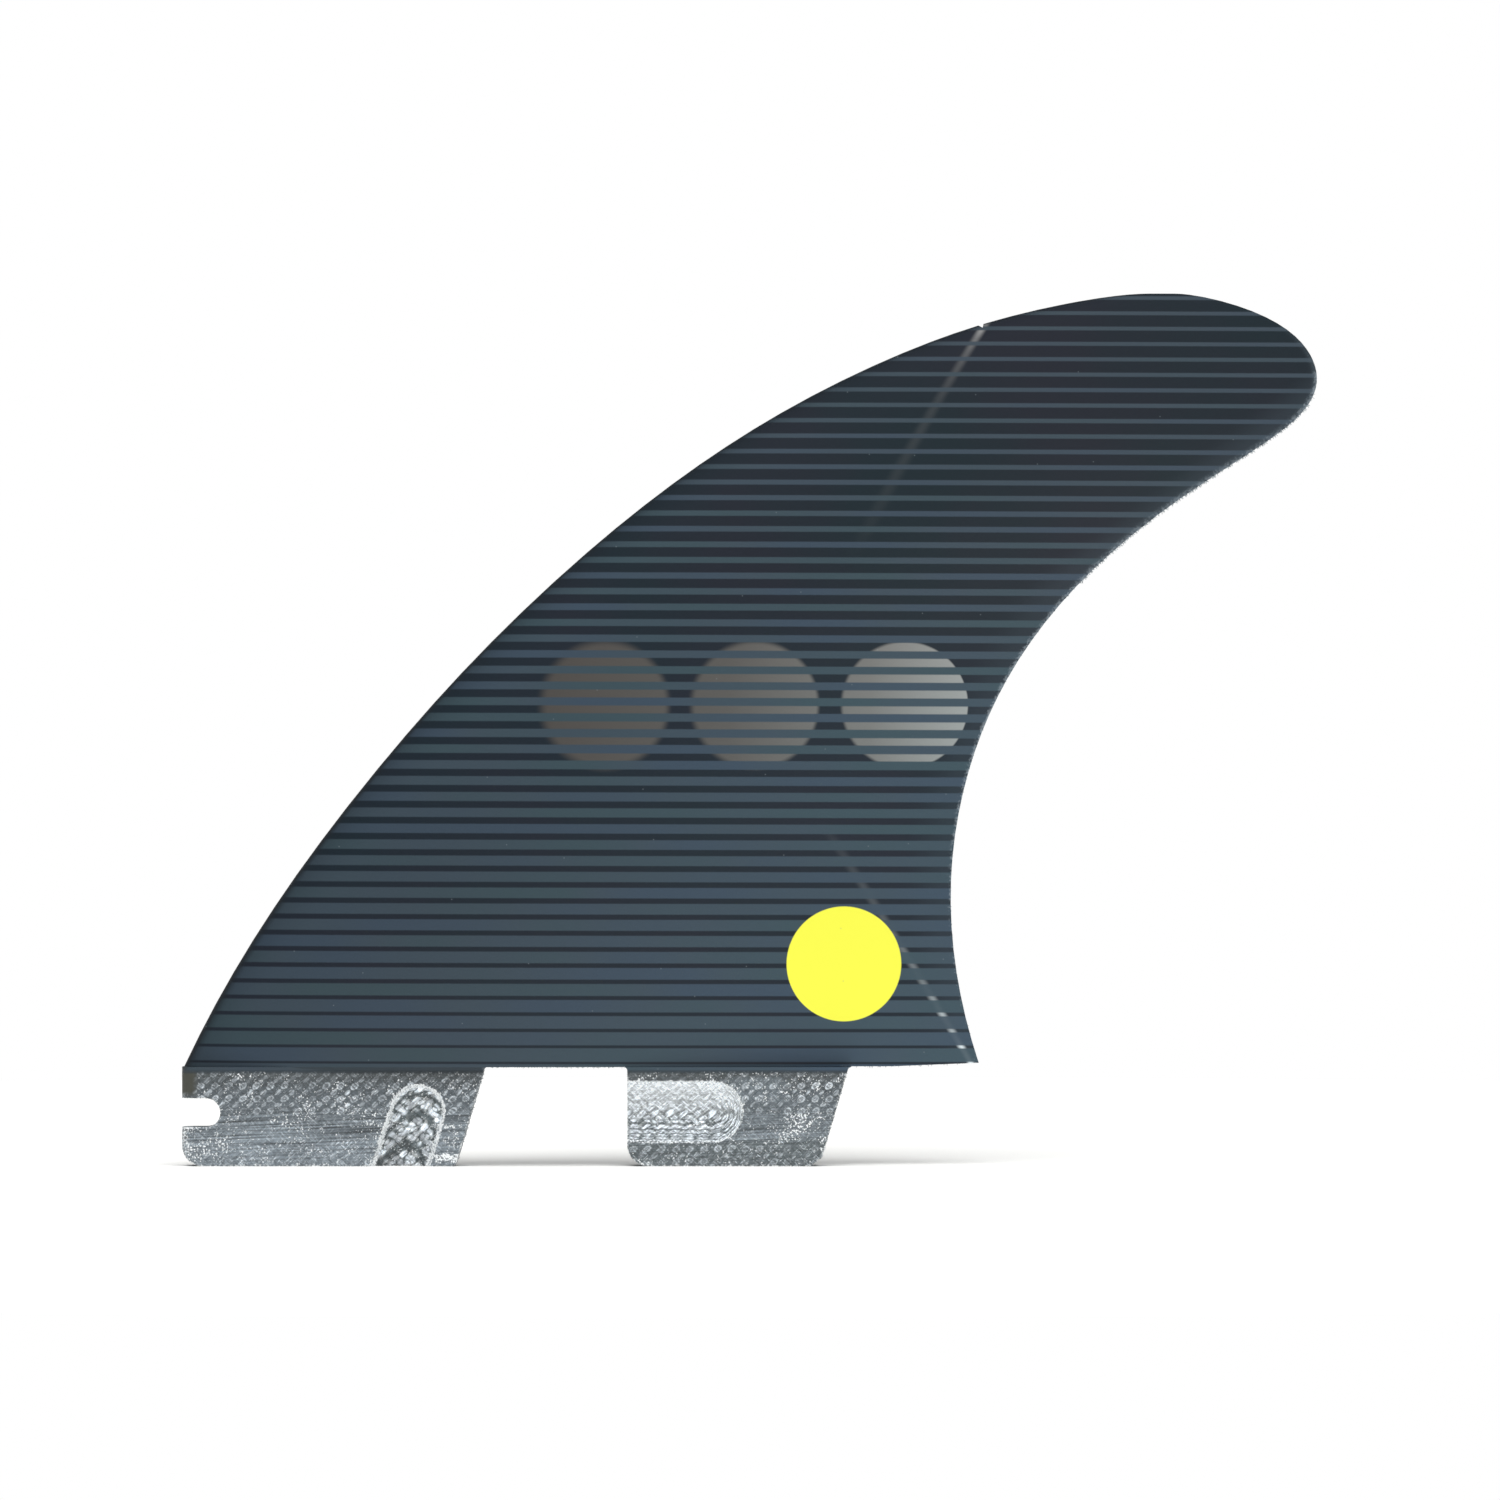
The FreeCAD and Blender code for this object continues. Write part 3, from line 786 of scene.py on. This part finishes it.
def cut_face(add, at, weave, tow, depth, bundle):
    """Colour of a cut: every tow is broken open and white, and resin lies dark between them."""
    cut = add(
        RAMP,
        [add(RANGE, [tow, -0.2, 0.22])],
        stops=((0.0, "464c4e"), (0.42, "727a7d"), (0.56, "c2cad1"), (0.80, "eef5fe")),
    )
    # In the front scoop the tows are shaved to broad chips, over a third of a millimetre wide.
    chip = slanted_noise(add, at.place, TOW_RISE, 0.9, 0.36)
    chip = add(MATH, [chip, 1.1, -0.02], operation="MULTIPLY_ADD")
    chip = add(MIX, {0: at.in_front, 2: bundle, 3: chip})
    flaky = add(RAMP, [chip], stops=((0.47, "3f474a"), (0.54, "a0a9ae"), (0.60, "fbfdfe")))
    blend = add(MIX, {0: at.in_front, 2: 0.25, 3: 0.38})
    cut = add(MIX, {0: blend, 6: cut, 7: flaky}, data_type="RGBA")
    resin = resin_lines(add, at, weave, depth)
    shade = add(MIX, {0: at.in_front, 6: "666e71", 7: "4c5457"}, data_type="RGBA")
    cut = add(MIX, {0: resin, 6: cut, 7: shade}, data_type="RGBA")
    # Painted light and shade: the rear scoop is painted whitest along its top, which faces down,
    # and greyer where its floor turns up again towards the light.
    for rise, most, colour in ((REAR_TOP_PAINTED_LIGHT, 0.75, "f5faff"), (REAR_FLOOR_PAINTED_SHADE, 0.32, "7b8388")):
        share = add(RANGE, [at.height, *rise, 0.0, most])
        share = add(MATH, [at.in_rear, share], operation="MULTIPLY")
        cut = add(MIX, {0: share, 6: cut, 7: colour}, data_type="RGBA")

    # Flakes differ in how they catch the light: by bundles, and by crossings in the front scoop.
    least = add(MIX, {0: at.in_front, 2: 0.82, 3: 0.70})
    greatest = add(MIX, {0: at.in_front, 2: 1.30, 3: 1.38})
    broken = add(MATH, [weave.luck, 0.16, 0.46], operation="MULTIPLY_ADD")
    broken = add(MIX, {0: at.in_front, 2: chip, 3: broken})
    flake = add(RANGE, [broken, 0.47, 0.61, least, greatest])
    # Painted light: the rear scoop's round end is painted whitest of all, where its wall faces the
    # light less.
    painted_end_light = add(RANGE, [at.along, *REAR_END_PAINTED_LIGHT, 1.0, 1.22])
    flake = add(MATH, [flake, painted_end_light], operation="MULTIPLY")
    return add(VECTOR, {0: cut, "Scale": flake}, operation="SCALE")


def sanding_marks(add, at, sunken):
    """Brightness of the nearly level scratches, strongest across the middle of the tabs' faces."""
    scratch = slanted_noise(add, at.place, math.radians(2.5), 14.0, 0.24)
    scratch = add(MATH, [scratch, 0.5], operation="SUBTRACT")
    middle = add(RAMP, [at.up], stops=((0.1, 0.4), (0.3, 1.0), (0.5, 1.0), (0.62, 0.25)))
    flat_face = add(MATH, [1.0, sunken], operation="SUBTRACT")
    for share in (middle, flat_face):
        scratch = add(MATH, [scratch, share], operation="MULTIPLY")
    scratch = add(MATH, [scratch, 4.2, 1.08], operation="MULTIPLY_ADD")
    return add(MATH, [at.swell, 0.9, scratch], operation="MULTIPLY_ADD")


def broken_ends(add, at, edge, shaded_nose):
    """White specks where broken fibre ends catch the light, thickest along edges and rims."""
    rims = []
    for distance, scoop in ((at.front, FRONT_SCOOP), (at.rear, REAR_SCOOP)):
        width, strength = scoop["rim"]
        rim = add(MATH, [distance, 0.12], operation="ADD")
        rim = add(MATH, [rim], operation="ABSOLUTE")
        rims.append(add(RANGE, [rim, 0.06, width, strength, 0.0]))
    rims = add(MATH, rims, operation="MAXIMUM")
    clusters = add(NOISE, {"Vector": at.place, "Scale": 0.45, "Detail": 1.0})
    clusters = add(RANGE, [clusters, 0.40, 0.72, -0.04, 0.07])
    corner = add(RANGE, [at.along, *FRONT_CORNER, 0.09, 0.0])
    grain = add(NOISE, {"Vector": at.place, "Scale": 4.2, "Detail": 2.0})
    fray = add(MATH, [edge, 0.27, grain], operation="MULTIPLY_ADD")
    for more in (rims, clusters, corner):
        fray = add(MATH, [fray, more], operation="ADD")
    fray = add(MATH, [shaded_nose, -0.3, fray], operation="MULTIPLY_ADD")
    for strip in FRAYED_STRIPS:
        more = strip_mask(add, at, strip)
        fray = add(MATH, [fray, more], operation="ADD")
    return add(RANGE, [fray, 0.63, 0.73])


def tab_laminate(add, place, flat, along, across, height, edge):
    """Colour of the bare laminate, clear where moulded and whitish where cut, and its tows."""
    at = tab_places(add, place, flat, along, across, height)
    depth = ply_depth(add, at)
    weave = woven_plies(add, place, depth)
    tow = add(MATH, [weave.first, weave.second], operation="MAXIMUM")

    # Single bundles, a third of a millimetre wide, fewer of the second set.
    bundles = [slanted_noise(add, place, slant, 1.3, 0.22) for slant in (TOW_RISE, -TOW_RISE)]
    fewer = add(MATH, [bundles[1], 0.025], operation="SUBTRACT")
    bundle = add(MATH, [bundles[0], fewer], operation="MAXIMUM")

    clear = moulded_face(add, at, weave, bundle)
    cut = cut_face(add, at, weave, tow, depth, bundle)
    sunken = add(MATH, [at.in_front, at.in_rear], operation="MAXIMUM")
    sides = add(RANGE, [at.sunk, 0.25, 0.6])
    sides = add(MATH, [sides, 0.6], operation="MULTIPLY")
    opened = add(MATH, [sunken, sides], operation="MAXIMUM")
    surface = add(MIX, {0: opened, 6: clear, 7: cut}, data_type="RGBA")
    streak = add(RANGE, [weave.fibre, 0.36, 0.64, 0.70, 1.22], clamp=False)
    for brightness in (streak, sanding_marks(add, at, sunken)):
        surface = add(VECTOR, {0: surface, "Scale": brightness}, operation="SCALE")

    # The nose above the notch is smooth olive resin, darkened with painted shade where the tab's
    # front curves away.
    inward = add(MATH, [at.swell, 2.5, along], operation="MULTIPLY_ADD")
    shaded_nose = add(RANGE, [inward, *SHADED_NOSE_BACK, 1.0, 0.0])
    above = add(RANGE, [height, *SHADED_NOSE_FOOT])
    shaded_nose = add(MATH, [shaded_nose, above], operation="MULTIPLY")
    specks = broken_ends(add, at, edge, shaded_nose)
    for share, colour in ((shaded_nose, "45463f"), (specks, "f6f9fb")):
        surface = add(MIX, {0: share, 6: surface, 7: colour}, data_type="RGBA")
    return surface, tow


def glass_laminate(settings):
    """Polyester and glass-fibre laminate, moulded over a printed sheet and machined at the tabs.

    To the eye the blade is dark, level-striped and satin under clear resin. The tabs are bare:
    grey and half clear, with the cloth's crossings showing, and white wherever a cutter has
    broken the fibres, in the scoops and along the edges.
    """
    material, add = new_material("printed_glass_laminate_moulded")
    place = add("ShaderNodeTexCoord").outputs["Object"]
    place = add(VECTOR, {0: place, "Scale": 1 / MM}, operation="SCALE")
    along, across, height = add("ShaderNodeSeparateXYZ", [place]).outputs
    flat = add(COMBINE, [along, height])

    # Worn edges: where a rounded normal departs from the flat one.
    normal = add("ShaderNodeNewGeometry").outputs["Normal"]
    rounded = add("ShaderNodeBevel", {"Radius": 0.5 * MM}, samples=6)
    edge = add(VECTOR, [normal, rounded], operation="DISTANCE")

    _, facing, upward = add("ShaderNodeSeparateXYZ", [normal]).outputs
    facing = add(MATH, [facing], operation="ABSOLUTE")
    # Painted shade: darker where the surface rolls away from the front.
    rolled = add(RAMP, [facing], stops=((0.50, 1.0), (0.72, 0.50), (0.86, 0.14), (0.94, 0.0)))
    # Where the edge turns up, the painted shade reaches further in, against the light from above.
    upward = add(RANGE, [upward, 0.14, 0.60, 0.0, 0.68])
    rolled = add(MATH, [rolled, upward], operation="MAXIMUM")
    blade = blade_print(add, flat, along, height, normal, rolled, settings)
    blade = trailing_edge(add, place, height, blade)
    tabs, tow = tab_laminate(add, place, flat, along, across, height, edge)

    # The print ends in a soft dark line of painted shade along the blade's lower edge.
    printed = add(RANGE, [height, PRINT_END - PRINT_BLUR, PRINT_END + PRINT_BLUR])
    colour = add(MIX, {0: printed, 6: tabs, 7: blade}, data_type="RGBA")
    painted_edge_shade = add(MATH, [height, PRINT_END], operation="SUBTRACT")
    painted_edge_shade = add(MATH, [painted_edge_shade], operation="ABSOLUTE")
    painted_edge_shade = add(RANGE, [painted_edge_shade, *PRINT_EDGE_SHADE, 0.7, 0.0])
    colour = add(MIX, {0: painted_edge_shade, 6: colour, 7: "27323a"}, data_type="RGBA")

    # Only the bare tabs have worn corners: the clear resin over the print keeps its own.
    bare = add(MATH, [1.0, printed], operation="SUBTRACT")
    relief = add(MATH, [tow, bare], operation="MULTIPLY")
    corner = add(MIX, {0: bare, 4: normal, 5: rounded}, data_type="VECTOR")
    bump = add(
        "ShaderNodeBump",
        {"Height": relief, "Strength": 0.35, "Distance": 0.2 * MM, "Normal": corner},
    )
    # The resin is satin on the blade and dull on the tabs.
    rough = add(MIX, {0: bare, 2: 0.30, 3: 0.62})
    shader = add(
        "ShaderNodeBsdfPrincipled",
        {"Base Color": colour, "Roughness": rough, "IOR": 1.5, "Normal": bump},
    )
    add("ShaderNodeOutputMaterial", {"Surface": shader})
    return material


class FIN_OT_dress_fin(bpy.types.Operator):
    """Finish the moulded fin with its printed laminate"""

    bl_idname = "fin.dress_fin"
    bl_label = "Dress fin"

    def execute(self, context):
        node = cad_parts["fin"]
        material = glass_laminate(context.scene.fin_print)
        node.data.materials.clear()
        node.data.materials.append(material)
        return {"FINISHED"}


def scoop_rim(scoop):
    """Places along a round-ended scoop's outline on the tab's face, and the ways out of it."""
    lean, radius, length = scoop["lean"], scoop["radius"], scoop["length"]
    run = Vector((-math.sin(lean), 0.0, -math.cos(lean)))
    side = Vector((-run.z, 0.0, run.x))
    middle = Vector((scoop["middle"][0], 0.0, scoop["middle"][1]))
    arc = math.pi * radius
    for step in range(scoop["fibres"]):
        # In along one straight side, round the end and out along the other.
        walked = (arc + 2 * length) * (step + 0.5) / scoop["fibres"]
        down = max(length - walked, walked - length - arc, 0.0)
        angle = min(max((walked - length) / radius, 0.0), math.pi)
        out = side * -math.cos(angle) - run * math.sin(angle)
        yield middle + run * down + out * radius, out


def add_fibre(mesh, root, way, length, width, chance):
    """Build one broken fibre bundle: a short bent prism that tapers to a point."""
    side = way.orthogonal().normalized()
    other = way.cross(side)
    bend = side * chance.uniform(-0.4, 0.4) + other * chance.uniform(-0.4, 0.4)
    tip = root + (way + bend) * length
    # Fibres that would stand out past the fin's own size have been rubbed off.
    for low, high, *ends in zip(FIN_LOW / MM, FIN_HIGH / MM, root, tip):
        if min(ends) < low + width or max(ends) > high - width:
            return
    rings = []
    for share, thick in ((0.0, 1.0), (0.45, 0.8), (0.8, 0.5)):
        middle = root + way * (length * share) + bend * (length * share * share)
        ring = []
        for turn in range(3):
            angle = math.radians(120 * turn)
            reach = side * math.cos(angle) + other * math.sin(angle)
            ring.append(mesh.verts.new((middle + reach * (width / 2 * thick)) * MM))
        rings.append(ring)
    tip = mesh.verts.new(tip * MM)
    mesh.faces.new(list(reversed(rings[0])))
    for lower, upper in zip(rings, rings[1:]):
        for turn in range(3):
            after = (turn + 1) % 3
            mesh.faces.new((lower[turn], lower[after], upper[after], upper[turn]))
    for turn in range(3):
        mesh.faces.new((rings[-1][turn], rings[-1][(turn + 1) % 3], tip))


def drawn_glass():
    """Glass fibre, drawn and broken off.

    To the eye it is fine, whitish and glossy, greyer where resin still holds the bundle.
    """
    material, add = new_material("glass_fibre_drawn")
    place = add("ShaderNodeTexCoord").outputs["Object"]
    # Bundles differ from one to the next, every third of a millimetre.
    tone = add(NOISE, {"Vector": place, "Scale": 3000.0, "Detail": 1.0})
    tone = add(RAMP, [tone], stops=((0.38, "98a1a6"), (0.62, "e4e9ec")))
    shader = add("ShaderNodeBsdfPrincipled", {"Base Color": tone, "Roughness": 0.45, "IOR": 1.52})
    add("ShaderNodeOutputMaterial", {"Surface": shader})
    return material


class FIN_OT_fray_edges(bpy.types.Operator):
    """Raise broken glass fibres along the cut edges"""

    bl_idname = "fin.fray_edges"
    bl_label = "Fray edges"

    def execute(self, context):
        chance = random.Random(7)
        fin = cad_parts["fin"].data
        shape = BVHTree.FromPolygons(
            [vertex.co for vertex in fin.vertices], [face.vertices for face in fin.polygons]
        )
        mesh = bmesh.new()

        def grow(start, way, where):
            """Cast a ray at the fin and let a fibre stand where it lands, unless it only grazes."""
            longest, aside = FRAY[where]
            way = Vector(way)
            spot, normal, _, _ = shape.ray_cast(Vector(start) * MM, way)
            if spot is None or normal.dot(way) > -0.3:
                return 0
            lean = normal + Vector([chance.uniform(-aside, aside) for _ in range(3)])
            length = chance.uniform(0.35, 1.0) * longest
            root = spot / MM - normal * 0.06
            add_fibre(mesh, root, lean.normalized(), length, chance.uniform(0.08, 0.19), chance)
            return 1

        # The trailing edge from the tip down to the heel, seen from the bay behind it.
        grown = 0
        for _ in range(EDGE_RAYS):
            angle = math.radians(chance.uniform(*EDGE_SWEEP))
            depth = THIN_EDGE_DEPTH + chance.uniform(-0.36, 0.36)
            upper = angle < TIP_SWEEP_END
            if upper or chance.random() < 0.15:
                start = (BAY_MIDDLE[0], depth, BAY_MIDDLE[1])
                way = (math.cos(angle), 0.0, math.sin(angle))
                grown += grow(start, way, "under the tip" if upper else "at the heel")
        if grown < EDGE_FOUND:
            raise RuntimeError("the trailing edge wasn't found")
        # The blade's underside between the tabs and behind them.
        for first, last in BLADE_UNDERSIDES:
            for _ in range(round((last - first) * UNDERSIDE_RAYS)):
                start = (chance.uniform(first, last), chance.uniform(-3.0, 2.8), -8.0)
                grow(start, (0.0, 0.0, 1.0), "underside")
        # The tabs' leaning backs.
        for behind in TAB_BACKS:
            for _ in range(BACK_RAYS):
                start = (behind, chance.uniform(-2.9, 2.9), chance.uniform(-13.0, -0.9))
                grow(start, (-1.0, 0.0, 0.0), "tab back")
        # The scoops' rims, on both sides.
        for scoop in (FRONT_SCOOP, REAR_SCOOP):
            for spot, out in scoop_rim(scoop):
                for side in (-6.0, 6.0):
                    start = spot + out * chance.uniform(-0.3, 0.1) + Vector((0.0, side, 0.0))
                    grow(start, (0.0, -side, 0.0), "scoop rim")
        data = bpy.data.meshes.new("frayed_fibres")
        mesh.to_mesh(data)
        mesh.free()
        data.materials.append(drawn_glass())
        fibres = bpy.data.objects.new("frayed_fibres", data)
        context.scene.collection.objects.link(fibres)
        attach(fibres, "root")
        return {"FINISHED"}


class FIN_OT_set_stage(bpy.types.Operator):
    """Lay the pale floor and hang the soft lights"""

    bl_idname = "fin.set_stage"
    bl_label = "Set stage"

    def execute(self, context):
        scene = context.scene
        settings = scene.fin_studio
        mesh = bpy.data.meshes.new("studio_floor")
        shape = bmesh.new()
        bmesh.ops.create_circle(shape, cap_ends=True, segments=96, radius=FLOOR_RADIUS)
        bmesh.ops.translate(shape, verts=shape.verts, vec=FLOOR_MIDDLE)
        shape.to_mesh(mesh)
        shape.free()
        floor = bpy.data.objects.new("studio_floor", mesh)
        scene.collection.objects.link(floor)
        # Matt paper: no gloss, and a faint mottle of its pulp.
        material, add = new_material("matt_paper_rolled")
        pulp = add(NOISE, {"Scale": 400.0, "Detail": 2.0})
        pulp = add(MIX, {0: pulp, 6: settings.floor_colour, 7: "f0f0ee"}, data_type="RGBA")
        shader = add("ShaderNodeBsdfPrincipled", {"Base Color": pulp, "Roughness": 0.9})
        add("ShaderNodeOutputMaterial", {"Surface": shader})
        mesh.materials.append(material)

        sun = bpy.data.lights.new("overhead_softbox", "SUN")
        sun.energy = settings.sun_strength
        sun.angle = math.radians(60)
        lamp = bpy.data.objects.new("overhead_softbox", sun)
        lamp.rotation_euler = Vector(LIGHT_WAY).to_track_quat("-Z", "Y").to_euler()
        # The photograph shows no gleam from it along the leading edge.
        lamp.visible_glossy = False
        scene.collection.objects.link(lamp)

        world = bpy.data.worlds.new("white_tent")
        world.use_nodes = True
        scene.world = world
        tree = world.node_tree
        background = tree.nodes["Background"]
        background.inputs["Color"].default_value = (1, 1, 1, 1)
        # The camera sees the tent white, while its light on the fin stays soft.
        seen = add_node(tree, "ShaderNodeLightPath").outputs["Is Camera Ray"]
        strength = add_node(tree, RANGE, [seen, 0.0, 1.0, settings.sky_strength, 1.0])
        tree.links.new(strength.outputs[0], background.inputs["Strength"])
        scene.view_settings.view_transform = "Standard"
        return {"FINISHED"}


class FIN_OT_set_camera(bpy.types.Operator):
    """Place the camera square on to the fin's outer face, as the photograph was taken"""

    bl_idname = "fin.set_camera"
    bl_label = "Set camera"

    def execute(self, context):
        scene = context.scene
        distance = scene.fin_studio.camera_distance
        along, height = photo_place(PHOTO_SIZE / 2, PHOTO_SIZE / 2)
        data = bpy.data.cameras.new("camera")
        data.sensor_width = 36.0
        data.lens = data.sensor_width * distance / (PHOTO_SIZE * MM_PER_PIXEL * MM)
        camera = bpy.data.objects.new("camera", data)
        camera.location = (along * MM, -distance, height * MM)
        camera.rotation_euler = (math.radians(90), 0, 0)
        scene.collection.objects.link(camera)
        scene.camera = camera
        return {"FINISHED"}


class FIN_PT_panel(bpy.types.Panel):
    """Lists the steps that build the scene"""

    bl_idname = "FIN_PT_panel"
    bl_label = "Surfboard fin"
    bl_space_type = "VIEW_3D"
    bl_region_type = "UI"
    bl_category = "Fin"

    def draw(self, context):
        for operator in OPERATORS:
            self.layout.operator(operator.bl_idname)


SETTINGS = {"fin_print": FinPrintSettings, "fin_studio": FinStudioSettings}
OPERATORS = (FIN_OT_dress_fin, FIN_OT_fray_edges, FIN_OT_set_stage, FIN_OT_set_camera)
CLASSES = (*SETTINGS.values(), *OPERATORS, FIN_PT_panel)


def register():
    for item in CLASSES:
        bpy.utils.register_class(item)
    for name, group in SETTINGS.items():
        setattr(bpy.types.Scene, name, bpy.props.PointerProperty(type=group))


def unregister():
    for name in SETTINGS:
        delattr(bpy.types.Scene, name)
    for item in reversed(CLASSES):
        bpy.utils.unregister_class(item)


def main():
    register()
    bpy.ops.fin.dress_fin()
    bpy.ops.fin.fray_edges()
    bpy.ops.fin.set_stage()
    bpy.ops.fin.set_camera()


if __name__ == "__main__":
    main()
